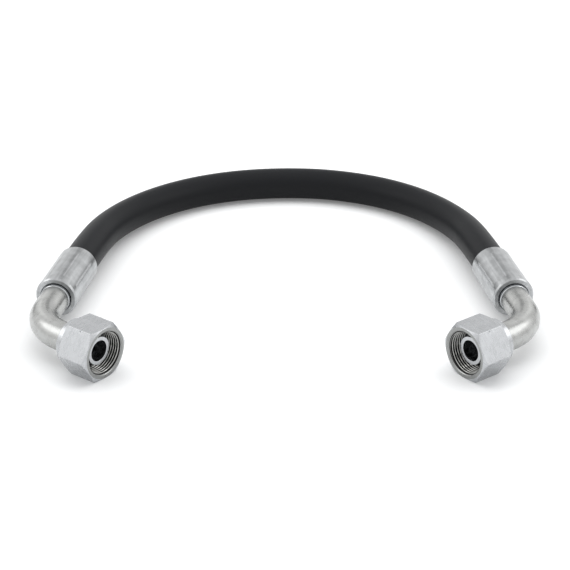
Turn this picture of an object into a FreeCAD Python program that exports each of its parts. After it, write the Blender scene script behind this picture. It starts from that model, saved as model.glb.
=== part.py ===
"""Hydraulic hose assembly: a rubber hose with a bent elbow and a swivel nut at each end.

Millimetres. +Z is up. The part lies on Z = 0: each nut on one of its flats, the hose on its underside.
The ends mirror each other about the YZ plane. The origin is on the floor, midway between the fittings.

Each end has two frames. The nut frame starts at the nut's mouth face, with X running into the fitting.
The ferrule frame starts where the elbow tube ends, with X running towards the hose.
"""
import FreeCAD, Part
import math
import os
import Sketcher
from FreeCAD import Placement, Rotation, Vector
from types import SimpleNamespace

SIZES = {
    # Swivel nut, M30x2, made for a 24 degree cone
    "nut_across_flats": 36.0,
    "nut_hexagon_length": 23.4,
    "nut_length": 30.2,
    "nut_hub_radius": 15.1,
    "nut_hub_edge": 0.6,
    "nut_face_radius": 17.1,
    "nut_chamfer_angle": 30.0,
    "thread_entry_radius": 15.45,
    "thread_minor_radius": 13.92,
    "thread_end_depth": 15.0,
    # Cone nose that the nut draws into the mating stud
    "nose_depth": 5.65,
    "nose_edge": 0.4,
    "pilot_radius": 9.95,
    "pilot_length": 2.35,
    "cone_half_angle": 12.0,
    "shank_radius": 12.3,
    "shank_start_depth": 18.0,
    "nose_rear_inset": 0.3,
    "port_radius": 7.1,
    # Seal ring in the cone
    "seal_section_radius": 1.2,
    "seal_sides": 8,
    "seal_ring_radius": 9.85,
    "seal_depth": 10.5,
    "seal_groove_spare": 0.4,
    # Square wire that holds the nut on the nose
    "wire_thickness": 1.9,
    "wire_depth": 20.6,
    "wire_turn": 342.0,
    # Bent elbow tube
    "tube_radius": 10.0,
    "tube_wall": 3.5,
    "tube_socket_depth": 5.5,
    "elbow_turn": 63.3,
    "bend_radius": 36.0,
    "nut_to_corner": 62.3,
    "corner_to_ferrule": 41.8,
    # Hose insert, the barbed tail that the hose is crimped onto
    "insert_shoulder_radius": 10.35,
    "insert_shoulder_edge": 0.5,
    "insert_shoulder_lead": 2.4,
    "insert_lock_radius": 8.6,
    "insert_bore_radius": 6.2,
    "insert_tail_length": 45.0,
    "barb_count": 2,
    "barb_pitch": 15.0,
    "barb_depth": 0.7,
    # Crimped ferrule
    "ferrule_radius": 14.6,
    "ferrule_length": 52.4,
    "ferrule_front_edge": 0.9,
    "ferrule_rear_edge": 0.5,
    "ferrule_mouth_radius": 11.3,
    "ferrule_mouth_bevel": 0.9,
    "ferrule_mouth_depth": 2.2,
    "ferrule_lip_thickness": 3.6,
    "ferrule_tooth_count": 2,
    "ferrule_tooth_pitch": 14.0,
    "ferrule_tooth_depth": 0.6,
    "crimp_flat_count": 8,
    "crimp_start": 7.5,
    "crimp_length": 35.0,
    "crimp_depth": 0.75,
    "crimp_roll": 5.5,
    # Hose, its rubber and its two wire braids vulcanised into one wall
    "hose_radius": 12.35,
    "hose_bore_radius": 7.95,
    # Clearances
    "running_gap": 0.05,
    "fitted_gap": 0.05,
    "hose_fit_gap": 0.2,
    "hose_end_gap": 0.3,
    "floor_gap": 0.05,
    # Layout of the two ends
    "exit_half_span": 149.6,
    "exit_y": 71.47,
    "ferrule_heading": 80.0,
    "exit_run": 36.0,
}

# Free hose between the two ferrules: X, Y, and how much of the drop from the ferrule to the floor is left
HOSE_ROUTE = [
    (-134.5, 143.1, 0.60),
    (-116.6, 177.8, 0.22),
    (-91.2, 204.9, 0.04),
    (-59.3, 223.9, 0.0),
    (-21.3, 234.4, 0.0),
    (23.6, 235.3, 0.0),
    (63.1, 224.1, 0.0),
    (94.1, 205.1, 0.04),
    (118.3, 177.9, 0.22),
    (135.7, 141.7, 0.60),
]
ARC_SHARE = 0.45
SIDES = {"left": -1, "right": 1}


class Measure:
    """A size kept twice: as an expression for the document, and as the number that the expression gives."""

    def __init__(self, text, number):
        self.text = text
        self.number = number

    def combined(self, sign, other, operation):
        other = as_measure(other)
        return Measure(f"({self.text} {sign} {other.text})", operation(self.number, other.number))

    def __add__(self, other):
        return self.combined("+", other, lambda a, b: a + b)

    def __sub__(self, other):
        return self.combined("-", other, lambda a, b: a - b)

    def __mul__(self, other):
        return self.combined("*", other, lambda a, b: a * b)

    def __truediv__(self, other):
        return self.combined("/", other, lambda a, b: a / b)

    def __neg__(self):
        return self * -1


def as_measure(value):
    """A plain number as a measure; a measure stays as it is."""
    return value if isinstance(value, Measure) else Measure(str(value), value)


def sine(angle):
    """The sine of a measure in degrees."""
    return Measure(f"sin({angle.text} * 1deg)", math.sin(math.radians(angle.number)))


def cosine(angle):
    """The cosine of a measure in degrees."""
    return Measure(f"cos({angle.text} * 1deg)", math.cos(math.radians(angle.number)))


def tangent(angle):
    """The tangent of a measure in degrees."""
    return Measure(f"tan({angle.text} * 1deg)", math.tan(math.radians(angle.number)))


ZERO = Measure("0", 0.0)
HALF_TURN = Measure("180", 180.0)


def make_sheet(doc):
    """Writes the driving sizes into a spreadsheet, one alias to a row, and gives them back as measures."""
    sheet = doc.addObject("Spreadsheet::Sheet", "sizes")
    measures = SimpleNamespace()
    for row, (alias, number) in enumerate(SIZES.items(), start=1):
        sheet.set(f"A{row}", alias)
        sheet.set(f"B{row}", str(number))
        sheet.setAlias(f"B{row}", alias)
    doc.recompute()
    for alias in SIZES:
        setattr(measures, alias, Measure(f"sizes.{alias}", float(getattr(sheet, alias))))
    return measures


def new_body(doc, label, placement):
    """An empty body in its own place."""
    body = doc.addObject("PartDesign::Body", label)
    body.Label = label
    body.Placement = placement
    return body


def origin_part(body, role):
    """One of the body's own origin planes or axes."""
    return next(item for item in body.Origin.OriginFeatures if item.Role == role)


def new_sketch(body, name, role="XY_Plane", offset=None):
    """A sketch on one of the body's origin planes, moved along the plane's normal if an offset is given."""
    sketch = body.newObject("Sketcher::SketchObject", name)
    sketch.AttachmentSupport = [(origin_part(body, role), "")]
    sketch.MapMode = "FlatFace"
    if offset:
        sketch.setExpression("AttachmentOffset.Base.z", offset.text)
    return sketch


def sized(sketch, constraint, measure):
    """Adds a dimension and ties it to its expression."""
    index = sketch.addConstraint(constraint)
    sketch.setExpression(f"Constraints[{index}]", measure.text)


def fix_point(sketch, geometry, point, x, y):
    """Ties a point to its two coordinates, or to an axis where a coordinate is zero."""
    for kind, axis, measure in (("DistanceX", -2, x), ("DistanceY", -1, y)):
        if abs(measure.number) < 1e-9:
            sketch.addConstraint(Sketcher.Constraint("PointOnObject", geometry, point, axis))
        else:
            sized(sketch, Sketcher.Constraint(kind, -1, 1, geometry, point, measure.number), measure)


def closed_profile(sketch, corners):
    """A closed outline through corners, each a place along the axis and a distance out from it."""
    points = [Vector(x.number, y.number, 0) for x, y in corners]
    count = len(points)
    for n in range(count):
        sketch.addGeometry(Part.LineSegment(points[n], points[(n + 1) % count]), False)
    for n, (x, y) in enumerate(corners):
        sketch.addConstraint(Sketcher.Constraint("Coincident", n, 2, (n + 1) % count, 1))
        fix_point(sketch, n, 1, x, y)
    return sketch


def circle_profile(sketch, x, y, radius):
    """A circle at a given place."""
    circle = Part.Circle(Vector(x.number, y.number, 0), Vector(0, 0, 1), radius.number)
    geometry = sketch.addGeometry(circle, False)
    fix_point(sketch, geometry, 3, x, y)
    sized(sketch, Sketcher.Constraint("Radius", geometry, radius.number), radius)
    return sketch


def hexagon_profile(sketch, radius):
    """A regular hexagon with two corners on the sketch's X axis."""
    corners = []
    for n in range(6):
        angle = math.pi / 3 * n
        corners.append(Vector(math.cos(angle), math.sin(angle), 0) * radius.number)
    for n in range(6):
        sketch.addGeometry(Part.LineSegment(corners[n], corners[(n + 1) % 6]), False)
    ring = sketch.addGeometry(Part.Circle(Vector(0, 0, 0), Vector(0, 0, 1), radius.number), True)
    sketch.addConstraint(Sketcher.Constraint("Coincident", ring, 3, -1, 1))
    sized(sketch, Sketcher.Constraint("Radius", ring, radius.number), radius)
    for n in range(6):
        sketch.addConstraint(Sketcher.Constraint("Coincident", n, 2, (n + 1) % 6, 1))
        sketch.addConstraint(Sketcher.Constraint("PointOnObject", n, 1, ring))
    for n in range(1, 6):
        sketch.addConstraint(Sketcher.Constraint("Equal", 0, n))
    sketch.addConstraint(Sketcher.Constraint("PointOnObject", 0, 1, -1))
    return sketch


def revolution(body, sketch, turn=None):
    """Turns a sketch into material about the body's X axis, all the way round unless a turn is given."""
    feature = body.newObject("PartDesign::Revolution", f"{sketch.Name}_turned")
    feature.Profile = sketch
    feature.ReferenceAxis = (sketch, ["H_Axis"])
    feature.Angle = 360
    if turn:
        feature.setExpression("Angle", turn.text)
    body.Document.recompute()
    return feature


def groove(body, sketch):
    """Cuts a sketch all round the body's X axis."""
    before = body.Shape.Volume
    feature = body.newObject("PartDesign::Groove", f"{sketch.Name}_cut")
    feature.Profile = sketch
    feature.ReferenceAxis = (sketch, ["H_Axis"])
    feature.Angle = 360
    return confirm_cut(body, feature, before)


def pocket(body, sketch, length, backwards=False):
    """Cuts a sketch straight into the body."""
    before = body.Shape.Volume
    feature = body.newObject("PartDesign::Pocket", f"{sketch.Name}_cut")
    feature.Profile = sketch
    feature.Reversed = backwards
    feature.setExpression("Length", length.text)
    return confirm_cut(body, feature, before)


def confirm_cut(body, feature, before):
    """Stops the build if a cut took nothing away."""
    body.Document.recompute()
    if body.Shape.Volume > before - 1e-3:
        raise RuntimeError(f"{feature.Name} cut nothing")
    return feature


def wire_section(sketch, s, gap):
    """The square section of the nut's wire, with a gap all round it."""
    half = s.wire_thickness / 2 + gap
    middle = s.shank_radius + s.running_gap / 2
    front, back = s.wire_depth - half, s.wire_depth + half
    inner, outer = middle - half, middle + half
    return closed_profile(sketch, [(front, inner), (back, inner), (back, outer), (front, outer)])


def swivel_nut(doc, s, label, placement):
    """Hexagon nut with a turned hub, bored for the thread, the nose's shank and the holding wire."""
    body = new_body(doc, label, placement)
    corner_radius = s.nut_across_flats / Measure("sqrt(3)", math.sqrt(3))

    hexagon = body.newObject("PartDesign::Pad", f"{label}_hexagon_bar")
    hexagon.Profile = hexagon_profile(new_sketch(body, f"{label}_hexagon", "YZ_Plane"), corner_radius)
    hexagon.setExpression("Length", s.nut_hexagon_length.text)
    doc.recompute()

    hub = [
        (s.nut_hexagon_length / 2, ZERO),
        (s.nut_hexagon_length / 2, s.nut_hub_radius),
        (s.nut_length - s.nut_hub_edge, s.nut_hub_radius),
        (s.nut_length, s.nut_hub_radius - s.nut_hub_edge),
        (s.nut_length, ZERO),
    ]
    revolution(body, closed_profile(new_sketch(body, f"{label}_hub"), hub))

    reach = corner_radius + 1
    slope = (reach - s.nut_face_radius) * tangent(s.nut_chamfer_angle)
    for name, face, inwards in (("front", ZERO, slope), ("rear", s.nut_hexagon_length, -slope)):
        chamfer = [(face, s.nut_face_radius), (face, reach), (face + inwards, reach)]
        groove(body, closed_profile(new_sketch(body, f"{label}_{name}_chamfer"), chamfer))

    hub_bore = s.shank_radius + s.running_gap
    bore = [
        (ZERO, ZERO),
        (ZERO, s.thread_entry_radius),
        (s.thread_entry_radius - s.thread_minor_radius, s.thread_minor_radius),
        (s.thread_end_depth, s.thread_minor_radius),
        (s.thread_end_depth + s.thread_minor_radius - hub_bore, hub_bore),
        (s.nut_length, hub_bore),
        (s.nut_length, ZERO),
    ]
    groove(body, closed_profile(new_sketch(body, f"{label}_bore"), bore))

    # the wire is fed in through a hole that meets its channel at a tangent
    channel = new_sketch(body, f"{label}_wire_channel")
    groove(body, wire_section(channel, s, s.running_gap))
    entry = new_sketch(body, f"{label}_wire_entry", "XZ_Plane")
    pocket(body, wire_section(entry, s, s.running_gap), s.nut_across_flats)


def cone_nose(doc, s, label, placement):
    """Nose with a pilot, a 24 degree cone, a seal groove, a shank for the nut's wire and a tube socket."""
    body = new_body(doc, label, placement)
    cone_start = s.nose_depth + s.pilot_length

    def cone_radius(depth):
        return s.pilot_radius + (depth - cone_start) * tangent(s.cone_half_angle)

    groove_half = s.seal_section_radius + s.seal_groove_spare
    groove_start = s.seal_depth - groove_half
    groove_end = s.seal_depth + groove_half
    groove_floor = s.seal_ring_radius - s.seal_section_radius - s.fitted_gap
    shank_step = s.shank_radius - cone_radius(s.shank_start_depth)
    rear = s.nut_length - s.nose_rear_inset
    socket_floor = rear - s.tube_socket_depth
    outline = [
        (s.nose_depth, s.port_radius),
        (s.nose_depth, s.pilot_radius - s.nose_edge),
        (s.nose_depth + s.nose_edge, s.pilot_radius),
        (cone_start, s.pilot_radius),
        (groove_start, cone_radius(groove_start)),
        (groove_start, groove_floor),
        (groove_end, groove_floor),
        (groove_end, cone_radius(groove_end)),
        (s.shank_start_depth, cone_radius(s.shank_start_depth)),
        (s.shank_start_depth + shank_step, s.shank_radius),
        (rear, s.shank_radius),
        (rear, s.tube_radius + s.fitted_gap),
        (socket_floor, s.tube_radius + s.fitted_gap),
        (socket_floor, s.port_radius),
    ]
    revolution(body, closed_profile(new_sketch(body, f"{label}_outline"), outline))
    groove(body, wire_section(new_sketch(body, f"{label}_wire_groove"), s, s.running_gap))


def seal_ring(doc, s, label, placement):
    """Rubber ring that stands proud of the cone, its round section drawn with few sides."""
    body = new_body(doc, label, placement)
    corners = []
    for n in range(round(s.seal_sides.number)):
        turn = HALF_TURN * 2 / s.seal_sides * (n + 0.5)
        along = s.seal_section_radius * cosine(turn)
        outwards = s.seal_section_radius * sine(turn)
        corners.append((s.seal_depth + along, s.seal_ring_radius + outwards))
    revolution(body, closed_profile(new_sketch(body, f"{label}_section"), corners))


def nut_wire(doc, s, label, placement):
    """Square wire bent to an open ring, half in the nose's groove and half in the nut's."""
    body = new_body(doc, label, placement)
    revolution(body, wire_section(new_sketch(body, f"{label}_section"), s, ZERO), s.wire_turn)


def elbow_tube(doc, s, label, placement):
    """Steel tube bent once, from the nose's socket to the hose insert."""
    body = new_body(doc, label, placement)
    tangent_length = s.bend_radius * tangent(s.elbow_turn / 2)
    start = s.nut_length - s.nose_rear_inset - s.tube_socket_depth
    bend_start = s.nut_to_corner - tangent_length
    last_run = s.corner_to_ferrule - s.insert_shoulder_lead - tangent_length

    turn = math.radians(s.elbow_turn.number)
    radius = s.bend_radius.number
    first_point = Vector(start.number, 0, 0)
    bend_in = Vector(bend_start.number, 0, 0)
    centre = bend_in + Vector(0, radius, 0)
    bend_out = centre + Vector(math.sin(turn), -math.cos(turn), 0) * radius
    last_point = bend_out + Vector(math.cos(turn), math.sin(turn), 0) * last_run.number
    bend = Part.Circle(centre, Vector(0, 0, 1), radius)

    path = new_sketch(body, f"{label}_centreline")
    path.addGeometry(Part.LineSegment(first_point, bend_in), False)
    path.addGeometry(Part.ArcOfCircle(bend, -math.pi / 2, turn - math.pi / 2), False)
    path.addGeometry(Part.LineSegment(bend_out, last_point), False)
    fix_point(path, 0, 1, start, ZERO)
    fix_point(path, 0, 2, bend_start, ZERO)
    path.addConstraint(Sketcher.Constraint("Tangent", 0, 2, 1, 1))
    path.addConstraint(Sketcher.Constraint("Tangent", 1, 2, 2, 1))
    sized(path, Sketcher.Constraint("Radius", 1, radius), s.bend_radius)
    sized(path, Sketcher.Constraint("Angle", 2, turn), s.elbow_turn)
    sized(path, Sketcher.Constraint("Distance", 2, last_run.number), last_run)

    section = new_sketch(body, f"{label}_section", "YZ_Plane", start)
    circle_profile(section, ZERO, ZERO, s.tube_radius)
    circle_profile(section, ZERO, ZERO, s.tube_radius - s.tube_wall)
    doc.recompute()
    tube = body.newObject("PartDesign::AdditivePipe", f"{label}_bent")
    tube.Profile = section
    tube.Spine = (path, ["Edge1", "Edge2", "Edge3"])
    doc.recompute()


def hose_insert(doc, s, label, placement):
    """Insert with a shoulder against the tube, a groove for the ferrule's lip, and a barbed tail."""
    body = new_body(doc, label, placement)
    lip_start = s.insert_shoulder_lead + s.ferrule_mouth_depth
    lock_start = lip_start - s.hose_end_gap
    lock_end = lip_start + s.ferrule_lip_thickness + s.hose_end_gap
    tail_radius = s.hose_bore_radius - s.hose_fit_gap
    tail_end = lock_end + s.insert_tail_length
    outline = [
        (ZERO, s.insert_bore_radius),
        (ZERO, s.insert_shoulder_radius - s.insert_shoulder_edge),
        (s.insert_shoulder_edge, s.insert_shoulder_radius),
        (lock_start, s.insert_shoulder_radius),
        (lock_start, s.insert_lock_radius),
        (lock_end, s.insert_lock_radius),
        (lock_end, tail_radius),
    ]
    for n in range(1, round(s.barb_count.number) + 1):
        barb = lock_end + s.barb_pitch * n
        outline += [
            (barb - s.barb_pitch / 2, tail_radius),
            (barb - s.barb_pitch / 2, tail_radius - s.barb_depth),
            (barb, tail_radius),
        ]
    outline += [
        (tail_end - s.barb_depth, tail_radius),
        (tail_end, tail_radius - s.barb_depth),
        (tail_end, s.insert_bore_radius),
    ]
    revolution(body, closed_profile(new_sketch(body, f"{label}_outline"), outline))


def ferrule(doc, s, label, placement, roll):
    """Crimped shell with its lip in the insert's groove, gripping teeth inside and flats pressed outside.

    The first flat is turned by roll from the body's +Z axis, away from +Y.
    """
    body = new_body(doc, label, placement)
    front = s.insert_shoulder_lead
    end = front + s.ferrule_length
    lip_start = front + s.ferrule_mouth_depth
    lip_end = lip_start + s.ferrule_lip_thickness
    lip_radius = s.insert_lock_radius + s.fitted_gap
    bore = s.hose_radius + s.hose_fit_gap
    outline = [
        (lip_end, lip_radius),
        (lip_start, lip_radius),
        (lip_start, s.ferrule_mouth_radius),
        (front + s.ferrule_mouth_bevel, s.ferrule_mouth_radius),
        (front, s.ferrule_mouth_radius + s.ferrule_mouth_bevel),
        (front, s.ferrule_radius - s.ferrule_front_edge),
        (front + s.ferrule_front_edge * 1.4, s.ferrule_radius),
        (end - s.ferrule_rear_edge, s.ferrule_radius),
        (end, s.ferrule_radius - s.ferrule_rear_edge),
        (end, bore + s.ferrule_rear_edge),
        (end - s.ferrule_rear_edge, bore),
    ]
    for n in range(round(s.ferrule_tooth_count.number), 0, -1):
        tooth = lip_end + s.ferrule_tooth_pitch * n
        outline += [
            (tooth, bore),
            (tooth - s.ferrule_tooth_depth, bore + s.ferrule_tooth_depth),
            (tooth - s.ferrule_tooth_pitch / 2, bore + s.ferrule_tooth_depth),
            (tooth - s.ferrule_tooth_pitch / 2, bore),
        ]
    outline.append((lip_end, bore))
    revolution(body, closed_profile(new_sketch(body, f"{label}_outline"), outline))

    half_width = s.ferrule_radius * sine(HALF_TURN / s.crimp_flat_count)
    flat_radius = s.ferrule_radius - s.crimp_depth
    rim = s.ferrule_radius + 1
    upright = [(-half_width, flat_radius), (half_width, flat_radius), (half_width, rim), (-half_width, rim)]
    flat = [(y * cosine(roll) - z * sine(roll), y * sine(roll) + z * cosine(roll)) for y, z in upright]
    flat_sketch = new_sketch(body, f"{label}_crimp_flat", "YZ_Plane", front + s.crimp_start)
    first = pocket(body, closed_profile(flat_sketch, flat), s.crimp_length, backwards=True)
    before = body.Shape.Volume
    ring = body.newObject("PartDesign::PolarPattern", f"{label}_crimp_flats")
    ring.Originals = [first]
    ring.Axis = (origin_part(body, "X_Axis"), [""])
    ring.Angle = 360
    ring.setExpression("Occurrences", s.crimp_flat_count.text)
    body.Tip = ring
    confirm_cut(body, ring, before)


def level_direction(degrees):
    """A level unit vector, turned from +X towards +Y."""
    return Vector(math.cos(math.radians(degrees)), math.sin(math.radians(degrees)), 0)


def end_frames(s, side):
    """The nut frame, the ferrule frame, and the point and direction where the hose leaves the ferrule."""
    hose_heading = 90 + side * (90 - s.ferrule_heading.number)
    nut_heading = hose_heading - side * s.elbow_turn.number
    along_hose = level_direction(hose_heading)
    axis_height = s.nut_across_flats.number / 2
    hose_exit = Vector(side * s.exit_half_span.number, s.exit_y.number, axis_height)
    tube_end = hose_exit - along_hose * (s.ferrule_length + s.insert_shoulder_lead).number
    corner = tube_end - along_hose * (s.corner_to_ferrule - s.insert_shoulder_lead).number
    nut_face = corner - level_direction(nut_heading) * s.nut_to_corner.number
    # the left elbow is the right one rolled half a turn
    roll = Rotation(Vector(1, 0, 0), 0 if side > 0 else 180)
    upright = Vector(0, 0, 1)
    nut_frame = Placement(nut_face, Rotation(upright, nut_heading) * roll)
    ferrule_frame = Placement(tube_end, Rotation(upright, hose_heading) * roll)
    return nut_frame, ferrule_frame, hose_exit, along_hose


def hose_points(s):
    """The hose's left cut end, the points of its free route from left to right, and its right cut end."""
    floor_height = (s.hose_radius + s.floor_gap).number
    drop = s.nut_across_flats.number / 2 - floor_height
    lip_end = s.ferrule_mouth_depth + s.ferrule_lip_thickness
    hidden = (s.ferrule_length - lip_end - s.hose_end_gap).number
    ends = {}
    for name, side in SIDES.items():
        _, _, hose_exit, along_hose = end_frames(s, side)
        cut_end = hose_exit - along_hose * hidden
        ends[name] = (cut_end, hose_exit, hose_exit + along_hose * s.exit_run.number)
    middle = [Vector(x, y, floor_height + drop * share) for x, y, share in HOSE_ROUTE]
    route = [*ends["left"][1:], *middle, *reversed(ends["right"][1:])]
    return ends["left"][0], route, ends["right"][0]


def rounded_path(start, route, finish):
    """Straight runs joined by tangent arcs, each as large as its two runs allow, and the arcs' radii."""
    edges = []
    radii = []
    here = start
    for before, point, after in zip(route, route[1:], route[2:]):
        towards = point - before
        away = after - point
        trim = ARC_SHARE * min(towards.Length, away.Length)
        towards.normalize()
        away.normalize()
        half_turn = towards.getAngle(away) / 2
        radius = trim / math.tan(half_turn)
        inwards = away - towards
        inwards.normalize()
        arc_start = point - towards * trim
        arc_end = point + away * trim
        arc_middle = point + inwards * radius * (1 / math.cos(half_turn) - 1)
        edges.append(Part.LineSegment(here, arc_start).toShape())
        edges.append(Part.Arc(arc_start, arc_middle, arc_end).toShape())
        radii.append(radius)
        here = arc_end
    edges.append(Part.LineSegment(here, finish).toShape())
    return Part.Wire(edges), radii


def make_hose(doc, s):
    """The hose, swept along its route and compared with its section times the route's length."""
    start, route, finish = hose_points(s)
    path, radii = rounded_path(start, route, finish)
    outer = s.hose_radius.number
    inner = s.hose_bore_radius.number
    cylinders = []
    for radius in (outer, inner):
        rim = Part.Circle(start, route[0] - start, radius).toShape()
        cylinders.append(path.makePipe(Part.Face(Part.Wire(rim))))
    outside, inside = cylinders
    hose = doc.addObject("Part::Feature", "hose")
    hose.Label = "hose"
    hose.Shape = outside.cut(inside).Solids[0]
    expected = math.pi * (outer**2 - inner**2) * path.Length
    if abs(hose.Shape.Volume / expected - 1) > 0.01:
        raise RuntimeError(f"the hose holds {hose.Shape.Volume:.0f} mm3 in place of {expected:.0f}")
    free = path.Length - (route[0] - start).Length - (finish - route[-1]).Length
    print(f"hose: cut length {path.Length:.1f}, free length {free:.1f}")
    print(f"hose volume: {hose.Shape.Volume:.0f} of {expected:.0f}")
    print("bend radii:", " ".join(f"{radius:.0f}" for radius in radii))


def make_end(doc, s, name, side):
    """The seven pieces of one end of the assembly."""
    nut_frame, ferrule_frame, _, _ = end_frames(s, side)
    for make, piece in (
        (swivel_nut, "swivel_nut"),
        (nut_wire, "nut_wire"),
        (seal_ring, "seal_ring"),
        (cone_nose, "cone_nose"),
        (elbow_tube, "elbow_tube"),
    ):
        make(doc, s, f"{name}_{piece}", nut_frame)
    hose_insert(doc, s, f"{name}_hose_insert", ferrule_frame)
    ferrule(doc, s, f"{name}_ferrule", ferrule_frame, s.crimp_roll * side)


def finished_pieces(doc):
    """The pieces of the assembly, each one valid solid. Stops the build if any object failed."""
    for item in doc.Objects:
        if "Invalid" in item.State or "Error" in item.State:
            raise RuntimeError(f"{item.Label} failed: {item.State}")
    pieces = [item for item in doc.Objects if item.TypeId in ("PartDesign::Body", "Part::Feature")]
    for item in pieces:
        if item.Shape.isNull() or not item.Shape.isValid() or len(item.Shape.Solids) != 1:
            raise RuntimeError(f"{item.Label} isn't one valid solid")
    return pieces


def main():
    doc = FreeCAD.newDocument("hydraulic_hose_assembly")
    s = make_sheet(doc)
    make_hose(doc, s)
    for name, side in SIDES.items():
        make_end(doc, s, name, side)
    doc.recompute()
    os.makedirs("parts", exist_ok=True)
    for item in finished_pieces(doc):
        item.Shape.exportStep(f"parts/{item.Label}.step")
        box = item.Shape.BoundBox
        print(
            f"{item.Label}: {item.Shape.Volume:.0f} mm3, X {box.XMin:.1f} to {box.XMax:.1f}, "
            f"Y {box.YMin:.2f} to {box.YMax:.2f}, Z {box.ZMin:.2f} to {box.ZMax:.2f}"
        )


main()
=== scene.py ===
"""Looks of the hydraulic hose assembly: black rubber hose, zinc-plated elbows, ferrules and swivel nuts.

Sizes are millimetres in the part's own frame, turned into metres as each mesh is made.
A turned piece is a stack of rings along its X axis, joined into a skin.
"""

import math

import bpy
from mathutils import Matrix, Vector


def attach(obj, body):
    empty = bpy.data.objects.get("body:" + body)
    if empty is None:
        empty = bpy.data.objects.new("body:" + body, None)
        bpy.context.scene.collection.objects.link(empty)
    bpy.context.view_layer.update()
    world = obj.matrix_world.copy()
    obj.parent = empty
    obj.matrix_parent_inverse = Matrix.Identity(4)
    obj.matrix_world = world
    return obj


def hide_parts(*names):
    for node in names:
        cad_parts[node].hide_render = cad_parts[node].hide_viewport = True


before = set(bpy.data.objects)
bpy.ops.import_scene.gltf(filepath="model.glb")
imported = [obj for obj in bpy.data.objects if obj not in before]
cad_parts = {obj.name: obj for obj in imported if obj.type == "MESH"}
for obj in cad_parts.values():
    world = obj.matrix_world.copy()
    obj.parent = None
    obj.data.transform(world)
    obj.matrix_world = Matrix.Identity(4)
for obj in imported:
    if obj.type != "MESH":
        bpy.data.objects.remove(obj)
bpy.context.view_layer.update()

MM = 0.001
LEFT, RIGHT = -1, 1
SIDE_NAMES = {LEFT: "left", RIGHT: "right"}
UP = Vector((0, 0, 1))

# Places of the two ends, as in the part
AXIS_HEIGHT = 18.0
EXIT_HALF_SPAN, EXIT_Y = 149.6, 71.47
FERRULE_HEADING, ELBOW_TURN = 80.0, 63.3
FERRULE_FRONT, FERRULE_LENGTH = 2.4, 52.4
CORNER_TO_FERRULE, NUT_TO_CORNER, BEND_RADIUS = 41.8, 62.3, 36.0

# Route of the free hose between the ferrules
EXIT_RUN = 36.0
HOSE_RADIUS, HOSE_BORE = 12.35, 7.95
HOSE_ROUTE = [
    (-134.5, 143.1, 15.77),
    (-116.6, 177.8, 13.63),
    (-91.2, 204.9, 12.62),
    (-59.3, 223.9, 12.4),
    (-21.3, 234.4, 12.4),
    (23.6, 235.3, 12.4),
    (63.1, 224.1, 12.4),
    (94.1, 205.1, 12.62),
    (118.3, 177.9, 13.63),
    (135.7, 141.7, 15.77),
]
HOSE_HIDDEN = 46.3
HIDDEN_STEPS = 4


def level(degrees):
    """A level unit vector, turned from +X towards +Y."""
    return Vector((math.cos(math.radians(degrees)), math.sin(math.radians(degrees)), 0))


def direction(turn, rise):
    """A unit vector, turned from +X towards +Y and risen from the floor, in degrees."""
    return level(turn) * math.cos(math.radians(rise)) + Vector((0, 0, math.sin(math.radians(rise))))


def frame_matrix(origin, x_axis, y_axis):
    """A frame in millimetres, from its origin, its X axis and its Y axis."""
    z_axis = x_axis.cross(y_axis)
    matrix = Matrix((x_axis, y_axis, z_axis)).transposed().to_4x4()
    matrix.translation = origin
    return matrix


def end_frames(side):
    """One end's nut frame and ferrule frame, both with Z up, and the hose's exit and heading."""
    hose_heading = 90 + side * (90 - FERRULE_HEADING)
    along_hose = level(hose_heading)
    into_nut = level(hose_heading - side * ELBOW_TURN)
    hose_exit = Vector((side * EXIT_HALF_SPAN, EXIT_Y, AXIS_HEIGHT))
    tube_end = hose_exit - along_hose * (FERRULE_LENGTH + FERRULE_FRONT)
    corner = tube_end - along_hose * (CORNER_TO_FERRULE - FERRULE_FRONT)
    nut_face = corner - into_nut * NUT_TO_CORNER
    nut = frame_matrix(nut_face, into_nut, UP.cross(into_nut))
    ferrule = frame_matrix(tube_end, along_hose, UP.cross(along_hose))
    return nut, ferrule, hose_exit, along_hose


# Camera, set from the photo's own perspective: place in metres, degrees of looking down, lens and sensor
CAMERA_PLACE = (0, -0.91587, 0.5029)
CAMERA_DIP = 26.916
CAMERA_LENS, CAMERA_SENSOR, CAMERA_SHIFT = 96.03, 36.0, 0.00035
FARTHEST_SEEN = 20


def add_camera():
    data = bpy.data.cameras.new("camera")
    data.lens = CAMERA_LENS
    data.sensor_width = CAMERA_SENSOR
    data.shift_x = CAMERA_SHIFT
    data.clip_end = FARTHEST_SEEN
    camera = bpy.data.objects.new("camera", data)
    camera.location = CAMERA_PLACE
    camera.rotation_euler = (math.radians(90 - CAMERA_DIP), 0, 0)
    bpy.context.scene.collection.objects.link(camera)
    bpy.context.scene.camera = camera


# Meshes

# How far a row lies beyond a rounded corner, so that the flat beside it is shaded flat
FLAT_SUPPORT = 0.02
# The share of an edge that the rounding at one of its ends may take
LONGEST_TRIM = 0.45
# How many rows of points a rounded corner has: its curve and a support row on either side
CORNER_STEPS = 3
CORNER_ROWS = CORNER_STEPS + 3
TUBE_SIDES = 96


def circle_angles(count):
    return [2 * math.pi * n / count for n in range(count)]


def ring_point(x, radius, turn):
    """The point at a distance from the X axis and a turn about it."""
    return (x, radius * math.cos(turn), radius * math.sin(turn))


def skin(rings, closed):
    """Corner points and faces that join rings of equal length, and the last ring to the first if closed."""
    size = len(rings[0])
    points = [point for ring in rings for point in ring]
    faces = []
    for i in range(len(rings) if closed else len(rings) - 1):
        here, there = i * size, (i + 1) % len(rings) * size
        for j in range(size):
            k = (j + 1) % size
            faces.append((here + j, here + k, there + k, there + j))
    return points, faces


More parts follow.
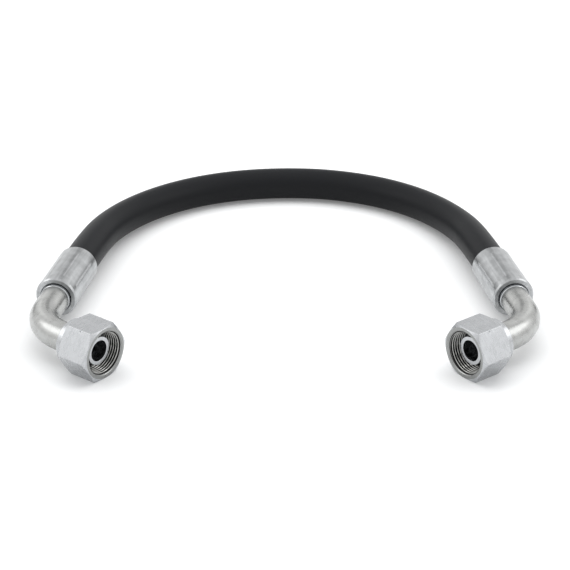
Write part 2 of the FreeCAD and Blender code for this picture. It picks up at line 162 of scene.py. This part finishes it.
def add_piece(name, rings, placement, material, closed=True, sharp=28):
    """A mesh object made of rings, in place, smooth but for its sharp edges."""
    points, faces = skin(rings, closed)
    mesh = bpy.data.meshes.new(name)
    mesh.from_pydata([Vector(p) * MM for p in points], [], faces)
    mesh.validate()
    mesh.shade_smooth()
    mesh.set_sharp_from_angle(angle=math.radians(sharp))
    mesh.materials.append(material)
    piece = bpy.data.objects.new(name, mesh)
    bpy.context.scene.collection.objects.link(piece)
    matrix = placement.copy()
    matrix.translation = placement.translation * MM
    piece.matrix_world = matrix
    return piece


def softened(corners, steps=CORNER_STEPS):
    """A closed outline with its corners rounded. Each corner is (x, radius, rounding)."""
    outline = []
    count = len(corners)
    for n, (x, r, rounding) in enumerate(corners):
        here = Vector((x, r))
        before = Vector(corners[n - 1][:2])
        after = Vector(corners[(n + 1) % count][:2])
        if rounding <= 0:
            outline.append(here)
            continue
        towards = (here - before).normalized()
        away = (after - here).normalized()
        trim = rounding * math.tan(towards.angle(away) / 2)
        trim = min(trim, LONGEST_TRIM * (here - before).length, LONGEST_TRIM * (after - here).length)
        start, end = here - towards * trim, here + away * trim
        outline.append(start - towards * FLAT_SUPPORT)
        for step in range(steps + 1):
            t = step / steps
            outline.append(start * (1 - t) ** 2 + here * 2 * t * (1 - t) + end * t**2)
        outline.append(end + away * FLAT_SUPPORT)
    return outline


def turned_rings(outline, sides=128):
    """Rings of an outline turned about the X axis."""
    return [[ring_point(x, r, turn) for turn in circle_angles(sides)] for x, r in outline]


def tube_rings(centres, radius):
    """Rings of one radius round a line of centres that is never upright."""
    rings = []
    for n, centre in enumerate(centres):
        ahead = centres[min(n + 1, len(centres) - 1)] - centres[max(n - 1, 0)]
        across = ahead.cross(UP).normalized()
        upwards = across.cross(ahead).normalized()
        ring = []
        for turn in circle_angles(TUBE_SIDES):
            ring.append(centre + across * radius * math.cos(turn) + upwards * radius * math.sin(turn))
        rings.append(ring)
    return rings


def pipe_rings(centres, outer_radius, bore_radius):
    """Rings of a pipe's outside one way and of its bore back again."""
    return tube_rings(centres, outer_radius) + tube_rings(centres, bore_radius)[::-1]


def finish_piece(piece, body, cad_node):
    """What the piece rides on, and the solid that it dresses."""
    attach(piece, body)
    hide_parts(cad_node)


# Materials
def new_material(name):
    """A new material, its node tree and its main shader."""
    material = bpy.data.materials.new(name)
    material.use_nodes = True
    tree = material.node_tree
    return material, tree, tree.nodes["Principled BSDF"]


def node(tree, kind, **values):
    """A shader node with some of its inputs or settings given by name."""
    made = tree.nodes.new(kind)
    for key, value in values.items():
        made.inputs[key.replace("_", " ").title()].default_value = value
    return made


# How close together the marks on the steel are along X, Y and Z, in marks a metre
TURNED = (2400, 160, 160)
DRAWN = (25, 450, 450)
MILLED = (900, 300, 300)
CLOUDED = (230, 230, 230)
BLOTCHES = 160.0
# Where the noise is cut off at both ends, for clear marks
FAINTEST, STRONGEST = 0.35, 0.65
# How much smoother and rougher than its mean the steel gets
SMOOTHEST, ROUGHEST = 0.85, 1.2
# Depths of the marks in metres, and how strongly the rubber's grain shows
STEEL_DEPTH, RUBBER_DEPTH, RUBBER_RELIEF = 0.0001, 0.0003, 0.25
# Black of the painted shade in the thread's roots
ROOT_SHADE_BLACK = (0.02, 0.02, 0.02, 1)


def zinc(name, tint, roughness, grain, relief=0.025, mottling=0.07):
    """Zinc-plated steel. The grain sets the marks' shape, mottling how much darker they are."""
    material, tree, shader = new_material(name)
    link = tree.links.new
    shader.inputs["Metallic"].default_value = 1.0
    place = tree.nodes.new("ShaderNodeTexCoord")
    stretch = tree.nodes.new("ShaderNodeMapping")
    stretch.inputs["Scale"].default_value = grain
    lines = node(tree, "ShaderNodeTexNoise", scale=1.0, detail=3.0)
    blotches = node(tree, "ShaderNodeTexNoise", scale=BLOTCHES, detail=4.0)
    link(place.outputs["Object"], stretch.inputs["Vector"])
    link(stretch.outputs["Vector"], lines.inputs["Vector"])
    link(place.outputs["Object"], blotches.inputs["Vector"])
    uneven = tree.nodes.new("ShaderNodeMix")
    link(blotches.outputs["Fac"], uneven.inputs["A"])
    link(lines.outputs["Fac"], uneven.inputs["B"])
    contrast = node(tree, "ShaderNodeMapRange", from_min=FAINTEST, from_max=STRONGEST)
    link(uneven.outputs["Result"], contrast.inputs["Value"])
    colour = tree.nodes.new("ShaderNodeMix")
    colour.data_type = "RGBA"
    colour.inputs["A"].default_value = (*[(1 - mottling) * c for c in tint], 1)
    colour.inputs["B"].default_value = (*tint, 1)
    link(contrast.outputs["Result"], colour.inputs["Factor"])
    link(colour.outputs["Result"], shader.inputs["Base Color"])
    spread = node(tree, "ShaderNodeMapRange", to_min=roughness * SMOOTHEST, to_max=roughness * ROUGHEST)
    link(blotches.outputs["Fac"], spread.inputs["Value"])
    link(spread.outputs["Result"], shader.inputs["Roughness"])
    bump = node(tree, "ShaderNodeBump", strength=relief, distance=STEEL_DEPTH)
    link(lines.outputs["Fac"], bump.inputs["Height"])
    link(bump.outputs["Normal"], shader.inputs["Normal"])
    return material


def darken_roots(material, crest, root):
    """Painted shade in the thread's roots, none at the crest's radius about X and black at the root's."""
    tree = material.node_tree
    link = tree.links.new
    shader = tree.nodes["Principled BSDF"]
    place = tree.nodes.new("ShaderNodeTexCoord")
    across = node(tree, "ShaderNodeVectorMath")
    across.operation = "MULTIPLY"
    across.inputs[1].default_value = (0, 1, 1)
    outwards = node(tree, "ShaderNodeVectorMath")
    outwards.operation = "LENGTH"
    depth = node(tree, "ShaderNodeMapRange", from_min=crest * MM, from_max=root * MM)
    # Black painted shade, growing from the thread's crest to its root
    root_shade = tree.nodes.new("ShaderNodeMix")
    root_shade.data_type = "RGBA"
    root_shade.inputs["B"].default_value = ROOT_SHADE_BLACK
    link(place.outputs["Object"], across.inputs[0])
    link(across.outputs["Vector"], outwards.inputs[0])
    link(outwards.outputs["Value"], depth.inputs["Value"])
    link(depth.outputs["Result"], root_shade.inputs["Factor"])
    steel_colour = shader.inputs["Base Color"].links[0].from_socket
    link(steel_colour, root_shade.inputs["A"])
    link(root_shade.outputs["Result"], shader.inputs["Base Color"])


def rubber(name, shade, roughness, shine, grain):
    """Black rubber with a fine grain."""
    material, tree, shader = new_material(name)
    link = tree.links.new
    shader.inputs["Base Color"].default_value = (*shade, 1)
    shader.inputs["Roughness"].default_value = roughness
    shader.inputs["Specular IOR Level"].default_value = shine
    place = tree.nodes.new("ShaderNodeTexCoord")
    noise = node(tree, "ShaderNodeTexNoise", scale=grain, detail=5.0)
    link(place.outputs["Object"], noise.inputs["Vector"])
    bump = node(tree, "ShaderNodeBump", strength=RUBBER_RELIEF, distance=RUBBER_DEPTH)
    link(noise.outputs["Fac"], bump.inputs["Height"])
    link(bump.outputs["Normal"], shader.inputs["Normal"])
    return material


# Hose
def hose_route():
    """The route's points from the left ferrule to the right one."""
    runs = {}
    for side in (LEFT, RIGHT):
        _, _, hose_exit, along = end_frames(side)
        runs[side] = [hose_exit, hose_exit + along * EXIT_RUN]
    return [*runs[LEFT], *[Vector(point) for point in HOSE_ROUTE], *reversed(runs[RIGHT])]


def spline_points(route):
    """Points close together on the open curve that the route's points control."""
    curve = bpy.data.curves.new("hose_line", "CURVE")
    curve.dimensions = "3D"
    spline = curve.splines.new("NURBS")
    spline.points.add(len(route) - 1)
    for point, place in zip(spline.points, route):
        point.co = (*place, 1)
    spline.order_u = 3
    spline.use_endpoint_u = True
    spline.resolution_u = 16
    holder = bpy.data.objects.new("hose_line", curve)
    mesh = bpy.data.meshes.new_from_object(holder)
    points = [vertex.co.copy() for vertex in mesh.vertices]
    bpy.data.objects.remove(holder)
    bpy.data.meshes.remove(mesh)
    return points


def hose_piece(name, centres, material):
    """A length of hose with its bore."""
    rings = pipe_rings(centres, HOSE_RADIUS, HOSE_BORE)
    piece = add_piece(name, rings, Matrix.Identity(4), material, sharp=50)
    finish_piece(piece, "hose_line", "hose")
    return piece


def add_hose(material):
    """The free hose, and its straight ends inside the ferrules."""
    for side in (LEFT, RIGHT):
        _, _, hose_exit, along = end_frames(side)
        hidden = [hose_exit - along * HOSE_HIDDEN * n / HIDDEN_STEPS for n in range(HIDDEN_STEPS, -1, -1)]
        hose_piece(f"{SIDE_NAMES[side]}_hose_end", hidden, material)
    line = spline_points(hose_route())
    hose = hose_piece("hose_rubber", line, material)


# Swivel nut
HALF_FLATS = 18.0
EDGE_ROUNDING = 0.4
HEX_LENGTH, NUT_LENGTH = 24.0, 30.2
FACE_RADIUS, HUB_RADIUS = 17.5, 15.1
CHAMFER_SLOPE = math.radians(30)
SHANK_BORE = 12.35
WIRE_DEPTH, WIRE_HALF = 20.6, 0.95
ENTRY_RADIUS, MINOR_RADIUS, THREAD_DEPTH, THREAD_PITCH = 15.45, 13.92, 15.0, 2.0
THREAD_HEIGHT = 1.05
# Shares of half a pitch that the thread's crest and its flank take
CREST_SHARE, FLANK_SHARE = 0.12, 0.56
# The thread fades out over this length, and ends this far before its depth
RUN_OUT, RUN_OUT_END = 1.5, 0.6
ROW_STEP, ROW_MARGIN = 0.125, 0.1
THREAD_ROWS = round((THREAD_DEPTH - 2 * ROW_MARGIN) / ROW_STEP)
# The small nick in one edge: its bottom's radius, half its width, its place and how far round it may reach
NICK_RADIUS, NICK_HALF, NICK_PLACE, NICK_REACH = 20.0, 0.55, 10.9, math.radians(10)
FLAT_STEPS = 24
SIXTH, TWELFTH = math.pi / 3, math.pi / 6
EDGE_CENTRE = (HALF_FLATS - EDGE_ROUNDING) / math.cos(TWELFTH)
# How far round, in radians, a rounded edge of the hexagon reaches to either side
EDGE_REACH = math.atan2(EDGE_ROUNDING * 0.5, EDGE_CENTRE + EDGE_ROUNDING * math.cos(TWELFTH))


def limited(share):
    return min(max(share, 0), 1)


def hexagon_radius(turn):
    """Distance from the axis to the hexagon's side, for edges at 0, 60, 120 degrees and so on."""
    off = abs((turn + TWELFTH) % SIXTH - TWELFTH)
    if off > EDGE_REACH:
        return HALF_FLATS / math.cos(TWELFTH - off)
    return EDGE_CENTRE * math.cos(off) + math.sqrt(EDGE_ROUNDING**2 - (EDGE_CENTRE * math.sin(off)) ** 2)


def thread_radius(x, turn):
    """Radius of the nut's right-hand thread at a depth and a turn about the axis."""
    phase = abs((x / THREAD_PITCH - turn / (2 * math.pi)) % 1 - 0.5) * 2
    height = limited((phase - CREST_SHARE) / FLANK_SHARE) * THREAD_HEIGHT
    fade = limited((THREAD_DEPTH - RUN_OUT_END - x) / RUN_OUT)
    return max(MINOR_RADIUS + height * fade, ENTRY_RADIUS - x)


def nut_outline(turn, nick_turn):
    """The nut's outline at one turn, from the mouth round the outside and back through the bore."""
    outer = hexagon_radius(turn)
    slope = (outer - FACE_RADIUS) * math.tan(CHAMFER_SLOPE)
    from_nick = abs((turn - nick_turn + math.pi) % (2 * math.pi) - math.pi)
    nicked = min(outer, NICK_RADIUS) if from_nick < NICK_REACH else outer
    corners = [
        (0, ENTRY_RADIUS, 0.12),
        (0, FACE_RADIUS, 0.2),
        (slope, outer, 0.35),
        (NICK_PLACE - NICK_HALF, outer, 0),
        (NICK_PLACE, nicked, 0),
        (NICK_PLACE + NICK_HALF, outer, 0),
        (HEX_LENGTH - slope, outer, 0.35),
        (HEX_LENGTH, FACE_RADIUS, 0.3),
        (HEX_LENGTH, HUB_RADIUS, 0.3),
        (NUT_LENGTH - 0.6, HUB_RADIUS, 0.4),
        (NUT_LENGTH, HUB_RADIUS - 0.6, 0.3),
        (NUT_LENGTH, SHANK_BORE, 0.15),
        (WIRE_DEPTH + WIRE_HALF, SHANK_BORE, 0),
        (WIRE_DEPTH + WIRE_HALF, SHANK_BORE + WIRE_HALF, 0),
        (WIRE_DEPTH - WIRE_HALF, SHANK_BORE + WIRE_HALF, 0),
        (WIRE_DEPTH - WIRE_HALF, SHANK_BORE, 0),
        (THREAD_DEPTH + MINOR_RADIUS - SHANK_BORE, SHANK_BORE, 0),
        (THREAD_DEPTH, MINOR_RADIUS, 0),
    ]
    outline = softened(corners)
    for row in range(THREAD_ROWS):
        x = THREAD_DEPTH - ROW_MARGIN - row * ROW_STEP
        outline.append(Vector((x, thread_radius(x, turn))))
    return outline


def nut_turns():
    """Turns about the nut's axis, close together at the hexagon's edges."""
    support = EDGE_REACH + FLAT_SUPPORT / HALF_FLATS
    flat = SIXTH - 2 * support
    turns = []
    for edge in range(6):
        at = edge * SIXTH
        turns.append(at - support)
        turns += [at + EDGE_REACH * share for share in (-1, -0.6, -0.2, 0.2, 0.6, 1)]
        turns += [at + support + flat * n / FLAT_STEPS for n in range(FLAT_STEPS)]
    return turns


def dress_nut(nut, row_count, row_length, shaded_face_material, thread_material):
    """The mouth face and its entry in one material, a darker zinc that paints shade on them, the thread and
    the bore behind it in another.
    """
    nut.data.materials.append(shaded_face_material)
    nut.data.materials.append(thread_material)
    rows_behind_thread, entry_rows = 4, 4
    # The mouth face ends in the middle of the second rounded corner
    face_rows = CORNER_ROWS + CORNER_ROWS // 2
    first_thread_row = row_count - THREAD_ROWS - rows_behind_thread
    first_entry_row = row_count - entry_rows
    for face in nut.data.polygons:
        row = face.index // row_length
        if row < face_rows or row >= first_entry_row:
            face.material_index = 1
        elif row >= first_thread_row:
            face.material_index = 2


def add_nut(side, placement, material, shaded_face_material, thread_material):
    name = SIDE_NAMES[side]
    # The nick is in an upper edge, mirrored from one side to the other
    nick_turn = math.radians(90 + side * 30)
    turns = nut_turns()
    outlines = [nut_outline(turn, nick_turn) for turn in turns]
    rings = []
    for row in zip(*outlines):
        rings.append([ring_point(x, r, turn) for (x, r), turn in zip(row, turns)])
    nut = add_piece(f"{name}_nut_threaded", rings, placement, material, sharp=22)
    dress_nut(nut, len(rings), len(turns), shaded_face_material, thread_material)
    finish_piece(nut, f"{name}_nut", f"{name}_swivel_nut")


# Nose with its seal ring and the nut's wire. Each corner of the outline is (x, radius, rounding).
TUBE_SOCKET = 24.4
SEAL_DEPTH, SEAL_MIDDLE, SEAL_HALF, SEAL_SIDES = 10.5, 9.85, 1.2, 20
WIRE_MIDDLE, WIRE_TURN, WIRE_ROWS = 12.325, 342, 96
NOSE_OUTLINE = [
    (5.65, 7.1, 0.25),
    (5.65, 9.55, 0.15),
    (6.05, 9.95, 0.15),
    (8.0, 9.95, 0.3),
    (8.9, 10.14, 0.08),
    (8.9, 8.6, 0.15),
    (12.1, 8.6, 0.15),
    (12.1, 10.82, 0.08),
    (18.0, 12.075, 0.1),
    (18.23, 12.3, 0.1),
    (19.6, 12.3, 0),
    (19.6, 11.325, 0),
    (21.6, 11.325, 0),
    (21.6, 12.3, 0),
    (29.9, 12.3, 0.15),
    (29.9, 10.05, 0.1),
    (TUBE_SOCKET, 10.05, 0),
    (TUBE_SOCKET, 7.1, 0),
]


def add_nose(side, placement, steel, seal, wire):
    name = SIDE_NAMES[side]
    nose = add_piece(f"{name}_nose_turned", turned_rings(softened(NOSE_OUTLINE)), placement, steel)
    finish_piece(nose, "hose_line", f"{name}_cone_nose")
    seal_section = []
    for angle in circle_angles(SEAL_SIDES):
        x = SEAL_DEPTH + SEAL_HALF * math.cos(angle)
        r = SEAL_MIDDLE + SEAL_HALF * math.sin(angle)
        seal_section.append((x, r))
    ring = add_piece(f"{name}_seal_round", turned_rings(seal_section, TUBE_SIDES), placement, seal, sharp=60)
    finish_piece(ring, "hose_line", f"{name}_seal_ring")
    corners = []
    for x, r in ((-1, -1), (1, -1), (1, 1), (-1, 1)):
        corners.append((WIRE_DEPTH + x * WIRE_HALF, WIRE_MIDDLE + r * WIRE_HALF, 0.25))
    wire_section = softened(corners, 2)
    rings = []
    for n in range(WIRE_ROWS):
        turn = math.radians(WIRE_TURN) * n / (WIRE_ROWS - 1)
        rings.append([ring_point(x, r, turn) for x, r in wire_section])
    held = add_piece(f"{name}_wire_bent", rings, placement, wire, closed=False, sharp=40)
    finish_piece(held, "hose_line", f"{name}_nut_wire")


# Elbow tube
TUBE_RADIUS, TUBE_BORE = 10.0, 6.5
BEND_STEPS, STRAIGHT_STEPS = 28, 6


def elbow_line(side):
    """Centres along the bent tube, from the nose's socket to the hose insert."""
    nut, ferrule, _, along = end_frames(side)
    into_nut = nut.col[0].to_3d()
    tangent = BEND_RADIUS * math.tan(math.radians(ELBOW_TURN / 2))
    corner = nut.translation + into_nut * NUT_TO_CORNER
    start = nut.translation + into_nut * TUBE_SOCKET
    bend_start = corner - into_nut * tangent
    towards = UP.cross(into_nut)
    if towards.dot(along) < 0:
        towards = -towards
    centre = bend_start + towards * BEND_RADIUS
    line = [start + (bend_start - start) * n / STRAIGHT_STEPS for n in range(STRAIGHT_STEPS)]
    for n in range(BEND_STEPS + 1):
        turn = math.radians(ELBOW_TURN) * n / BEND_STEPS
        line.append(centre + (into_nut * math.sin(turn) - towards * math.cos(turn)) * BEND_RADIUS)
    bend_end = line[-1]
    for n in range(1, STRAIGHT_STEPS + 1):
        line.append(bend_end + (ferrule.translation - bend_end) * n / STRAIGHT_STEPS)
    return line


def add_elbow(side, material):
    rings = pipe_rings(elbow_line(side), TUBE_RADIUS, TUBE_BORE)
    name = SIDE_NAMES[side]
    elbow = add_piece(f"{name}_elbow_bent", rings, Matrix.Identity(4), material)
    finish_piece(elbow, "hose_line", f"{name}_elbow_tube")


# Hose insert: flow bore, collar, neck that the ferrule grips, and tail with its barbs
FLOW_RADIUS = 6.2
COLLAR_RADIUS, COLLAR_LENGTH = 10.35, 4.3
NECK_RADIUS, NECK_END = 8.6, 8.5
TAIL_RADIUS, BARB_ROOT, TAIL_END = 7.75, 7.05, 53.5
BARB_COUNT, BARB_PITCH, BARB_LENGTH = 4, 10.0, 5


def insert_outline():
    """Corners of the insert's outline, each (x, radius, rounding)."""
    corners = [
        (0, FLOW_RADIUS, 0),
        (0, COLLAR_RADIUS - 0.5, 0.2),
        (0.5, COLLAR_RADIUS, 0.3),
        (COLLAR_LENGTH, COLLAR_RADIUS, 0.2),
        (COLLAR_LENGTH, NECK_RADIUS, 0),
        (NECK_END, NECK_RADIUS, 0),
        (NECK_END, TAIL_RADIUS, 0),
    ]
    for n in range(1, BARB_COUNT + 1):
        crest = NECK_END + BARB_PITCH * n
        root = crest - BARB_LENGTH
        corners += [(root, TAIL_RADIUS, 0), (root, BARB_ROOT, 0), (crest, TAIL_RADIUS, 0)]
    slope_start = TAIL_END - (TAIL_RADIUS - BARB_ROOT)
    tip = [(slope_start, TAIL_RADIUS, 0.2), (TAIL_END, BARB_ROOT, 0.2), (TAIL_END, FLOW_RADIUS, 0)]
    return corners + tip


# Crimped ferrule: its lip lies between the insert's collar and the hose
FERRULE_RADIUS, FERRULE_BORE, MOUTH_RADIUS = 14.6, 12.55, 10.65
LIP_RADIUS, LIP_START, LIP_END = 8.65, 4.6, 8.2
# Where the rows of the pressed length start, how much shorter than the ferrule it is, and its steps
PRESSED_START, PRESSED_LESS, PRESSED_STEPS = 2.2, 4.0, 60
CRIMP_COUNT, CRIMP_ROLL = 8, 5.5
CRIMP_START, CRIMP_END, CRIMP_RAMP = 5.5, 45.0, 3.6
CRIMP_SINK, CRIMP_FLATTENING = 0.06, 0.04
RIDGE_HEIGHT, RIDGE_HALF_WIDTH = 0.15, 0.65
RIDGE_MARGIN, RIDGE_STEPS, FACE_STEPS = 1.2, 7, 14


def pressed_radius(x, turn):
    """The ferrule's outer radius: slightly flattened faces with a narrow ridge between each two."""
    along = x - FERRULE_FRONT
    ramp = limited((along - CRIMP_START) / CRIMP_RAMP) * limited((CRIMP_END - along) / CRIMP_RAMP)
    ramp = ramp * ramp * (3 - 2 * ramp)
    step = 2 * math.pi / CRIMP_COUNT
    off = abs((turn + step / 2) % step - step / 2)
    face = CRIMP_SINK + CRIMP_FLATTENING * (1 - (off / (step / 2)) ** 2)
    to_ridge = (step / 2 - off) * FERRULE_RADIUS / RIDGE_HALF_WIDTH
    ridge = RIDGE_HEIGHT * (0.5 + 0.5 * math.cos(math.pi * min(to_ridge, 1)))
    return FERRULE_RADIUS - (face - ridge) * ramp


def ridge_angles(first_face):
    """Angles round the ferrule, close together at its ridges, counted from the first face's middle."""
    half_ridge = RIDGE_MARGIN * RIDGE_HALF_WIDTH / FERRULE_RADIUS
    step = 2 * math.pi / CRIMP_COUNT
    angles = []
    for crimp in range(CRIMP_COUNT):
        ridge = first_face + step * (crimp + 0.5)
        angles += [ridge + half_ridge * n / RIDGE_STEPS for n in range(-RIDGE_STEPS, RIDGE_STEPS + 1)]
        face = step - 2 * half_ridge
        angles += [ridge + half_ridge + face * n / FACE_STEPS for n in range(1, FACE_STEPS)]
    return angles


def add_ferrule(side, placement, material, insert_material):
    name = SIDE_NAMES[side]
    front, end = FERRULE_FRONT, FERRULE_FRONT + FERRULE_LENGTH
    pressed_length = FERRULE_LENGTH - PRESSED_LESS
    pressed = []
    for n in range(PRESSED_STEPS + 1):
        pressed.append(front + PRESSED_START + n * pressed_length / PRESSED_STEPS)
    inside = [
        (end, FERRULE_BORE + 0.5, 0.2),
        (end - 0.5, FERRULE_BORE, 0),
        (LIP_END, FERRULE_BORE, 0),
        (LIP_END, LIP_RADIUS, 0),
        (LIP_START, LIP_RADIUS, 0),
        (LIP_START, MOUTH_RADIUS, 0),
        (front + 0.6, MOUTH_RADIUS, 0.15),
        (front, MOUTH_RADIUS + 0.6, 0.15),
        (front, FERRULE_RADIUS - 0.9, 0.2),
        (front + 1.26, FERRULE_RADIUS, 0.25),
    ]
    back_edge = [
        (pressed[-1], FERRULE_RADIUS, 0),
        (end - 0.5, FERRULE_RADIUS, 0.4),
        (end, FERRULE_RADIUS - 0.5, 0.2),
    ]
    roll = math.radians(CRIMP_ROLL) * side
    turns = ridge_angles(math.pi / 2 + roll)
    rings = []
    for x, r in softened(inside):
        rings.append([ring_point(x, r, turn) for turn in turns])
    for x in pressed:
        rings.append([ring_point(x, pressed_radius(x, turn - math.pi / 2 - roll), turn) for turn in turns])
    for x, r in softened(back_edge)[1:]:
        rings.append([ring_point(x, r, turn) for turn in turns])
    shell = add_piece(f"{name}_ferrule_crimped", rings, placement, material, sharp=25)
    finish_piece(shell, "hose_line", f"{name}_ferrule")
    insert_rings = turned_rings(softened(insert_outline()))
    insert = add_piece(f"{name}_insert_barbed", insert_rings, placement, insert_material)
    finish_piece(insert, "hose_line", f"{name}_hose_insert")


# Stage, in metres. Shades are from 0 for black to 1 for white.
FLOOR_SIDE, FLOOR_FRONT, FLOOR_BACK = 0.5, -0.3, 0.9
FLOOR_SHADE, FLOOR_GLOW = 0.76, 0.16
MATT = 0.9


def add_panel(name, material_name, size_x, size_y, shade):
    """A flat matt rectangle about its own origin, as part of the stage, and its shader."""
    x, y = size_x / 2, size_y / 2
    mesh = bpy.data.meshes.new(name)
    mesh.from_pydata([(-x, -y, 0), (x, -y, 0), (x, y, 0), (-x, y, 0)], [], [(0, 1, 2, 3)])
    material, _, shader = new_material(material_name)
    shader.inputs["Base Color"].default_value = (shade, shade, shade, 1)
    shader.inputs["Roughness"].default_value = MATT
    mesh.materials.append(material)
    panel = bpy.data.objects.new(name, mesh)
    bpy.context.scene.collection.objects.link(panel)
    return panel, shader


def add_floor():
    """A white floor under the whole picture. The white surround goes on beyond its edge."""
    floor, shader = add_panel("floor", "white_floor", 2 * FLOOR_SIDE, FLOOR_BACK - FLOOR_FRONT, FLOOR_SHADE)
    floor.location.y = (FLOOR_BACK + FLOOR_FRONT) / 2
    shader.inputs["Emission Color"].default_value = (1, 1, 1, 1)
    shader.inputs["Emission Strength"].default_value = FLOOR_GLOW
    shader.inputs["Specular IOR Level"].default_value = 0.0


REAR = 90
PANEL_DISTANCE, TOP_DISTANCE = 1.5, 1.3
SCENE_MIDDLE, FITTING_OUT = (0, 0.03, 0.02), 0.14
# Softboxes of each side: degrees round from the rear, rise, width and height, glow, and whether they aim
# at that side's fitting or at the middle
SIDE_BOXES = {
    "low_box": (92, 22, (1.6, 0.44), 0.35, True),
    "high_box": (88, 40, (1.25, 0.65), 1.5, True),
    "back_box": (33, 26, (0.34, 0.6), 0.4, False),
}
TOP_RISE, TOP_SIZE, TOP_GLOW = 74, (2.4, 1.65), 2.3
# Dark boards: degrees round from the rear, rise, width and height, and shade
SIDE_BOARD = (40, 1, (0.26, 0.36), 0.05)
REAR_BOARD = (0, 28, (0.36, 0.3), 0.25)
SURROUND_WHITE = (1, 1, 1, 1)
SKY_TINT, SKY_STRENGTH = (0.93, 0.97, 1.0, 1), 0.35


def add_softbox(name, turn, rise, distance, size, glow, aim=SCENE_MIDDLE):
    """A panel of light that faces its aim. Turn and rise are degrees, glow is its radiance."""
    away = direction(turn, rise)
    data = bpy.data.lights.new(name, "AREA")
    data.shape = "RECTANGLE"
    data.size, data.size_y = size
    data.energy = glow * math.pi * size[0] * size[1]
    light = bpy.data.objects.new(name, data)
    light.location = Vector(aim) + away * distance
    light.rotation_euler = (-away).to_track_quat("-Z", "Y").to_euler()
    bpy.context.scene.collection.objects.link(light)
    return light


def add_board(name, side, around, rise, size, shade):
    """A dark panel that only mirrored rays see, for the darker streaks in the steel."""
    away = direction(REAR - side * around, rise)
    board, _ = add_panel(name, f"{name}_matt", *size, shade)
    board.location = away * PANEL_DISTANCE
    board.rotation_euler = away.to_track_quat("Z", "Y").to_euler()
    board.visible_camera = False
    board.visible_shadow = False
    board.visible_diffuse = False


def add_lights():
    for side in (LEFT, RIGHT):
        fitting = (side * FITTING_OUT, 0.0, 0.02)
        for box, (around, rise, size, glow, at_fitting) in SIDE_BOXES.items():
            aim = fitting if at_fitting else SCENE_MIDDLE
            name = f"{SIDE_NAMES[side]}_{box}"
            add_softbox(name, REAR - side * around, rise, PANEL_DISTANCE, size, glow, aim)
        add_board(f"{SIDE_NAMES[side]}_board", side, *SIDE_BOARD)
    # The overhead light is kept out of the steel, which would turn white under it
    top = add_softbox("top_box", REAR, TOP_RISE, TOP_DISTANCE, TOP_SIZE, TOP_GLOW)
    top.visible_glossy = False
    add_board("rear_board", RIGHT, *REAR_BOARD)


def add_surround():
    """White for the camera and for what mirrors or lets it through, dimmer and bluish as a light."""
    world = bpy.data.worlds.new("studio")
    world.use_nodes = True
    bpy.context.scene.world = world
    tree = world.node_tree
    link = tree.links.new
    tree.nodes.clear()
    rays = tree.nodes.new("ShaderNodeLightPath")
    seen = node(tree, "ShaderNodeBackground", color=SURROUND_WHITE, strength=1.0)
    lit = node(tree, "ShaderNodeBackground", color=SKY_TINT, strength=SKY_STRENGTH)
    mirrored = tree.nodes.new("ShaderNodeMath")
    mirrored.operation = "ADD"
    shown = tree.nodes.new("ShaderNodeMath")
    shown.operation = "ADD"
    shown.use_clamp = True
    link(rays.outputs["Is Glossy Ray"], mirrored.inputs[0])
    link(rays.outputs["Is Transmission Ray"], mirrored.inputs[1])
    link(rays.outputs["Is Camera Ray"], shown.inputs[0])
    link(mirrored.outputs["Value"], shown.inputs[1])
    mix = tree.nodes.new("ShaderNodeMixShader")
    out = tree.nodes.new("ShaderNodeOutputWorld")
    link(shown.outputs["Value"], mix.inputs["Fac"])
    link(lit.outputs["Background"], mix.inputs[1])
    link(seen.outputs["Background"], mix.inputs[2])
    link(mix.outputs["Shader"], out.inputs["Surface"])


def main():
    add_camera()
    hose_rubber = rubber("hose_rubber", (0.013, 0.0135, 0.0148), roughness=0.4, shine=0.09, grain=900.0)
    seal_rubber = rubber("seal_rubber", (0.004, 0.004, 0.004), roughness=0.35, shine=0.3, grain=1500.0)
    turned_steel = zinc("turned_zinc", (0.505, 0.517, 0.53), 0.25, TURNED, mottling=0.03)
    milled_steel = zinc("milled_zinc", (0.525, 0.537, 0.552), 0.265, MILLED, relief=0.03, mottling=0.16)
    # The nut's mouth face and entry in a darker copy of its zinc, painted shade
    shaded_face_steel = zinc("shaded_face_zinc", (0.315, 0.32, 0.315), 0.27, TURNED, mottling=0.12)
    # The ferrule's strong lengthwise streaks are partly drawn marks and partly painted reflection of dark
    # things beside it
    pressed_steel = zinc("pressed_zinc", (0.52, 0.532, 0.54), 0.29, DRAWN, relief=0.03, mottling=0.36)
    bent_steel = zinc("drawn_zinc", (0.48, 0.485, 0.476), 0.27, CLOUDED, relief=0.0, mottling=0.2)
    bare_steel = zinc("bare_thread_steel", (0.56, 0.56, 0.54), 0.3, TURNED)
    # The thread's roots get painted shade
    darken_roots(bare_steel, crest=MINOR_RADIUS + 0.1, root=MINOR_RADIUS + 0.6)
    wire = zinc("spring_wire", (0.6, 0.6, 0.6), 0.35, DRAWN)
    add_hose(hose_rubber)
    for side in (LEFT, RIGHT):
        nut_place, ferrule_place, _, _ = end_frames(side)
        add_nut(side, nut_place, milled_steel, shaded_face_steel, bare_steel)
        add_nose(side, nut_place, turned_steel, seal_rubber, wire)
        add_elbow(side, bent_steel)
        add_ferrule(side, ferrule_place, pressed_steel, turned_steel)
    add_floor()
    add_lights()
    add_surround()
    bpy.context.scene.view_settings.view_transform = "Standard"


main()
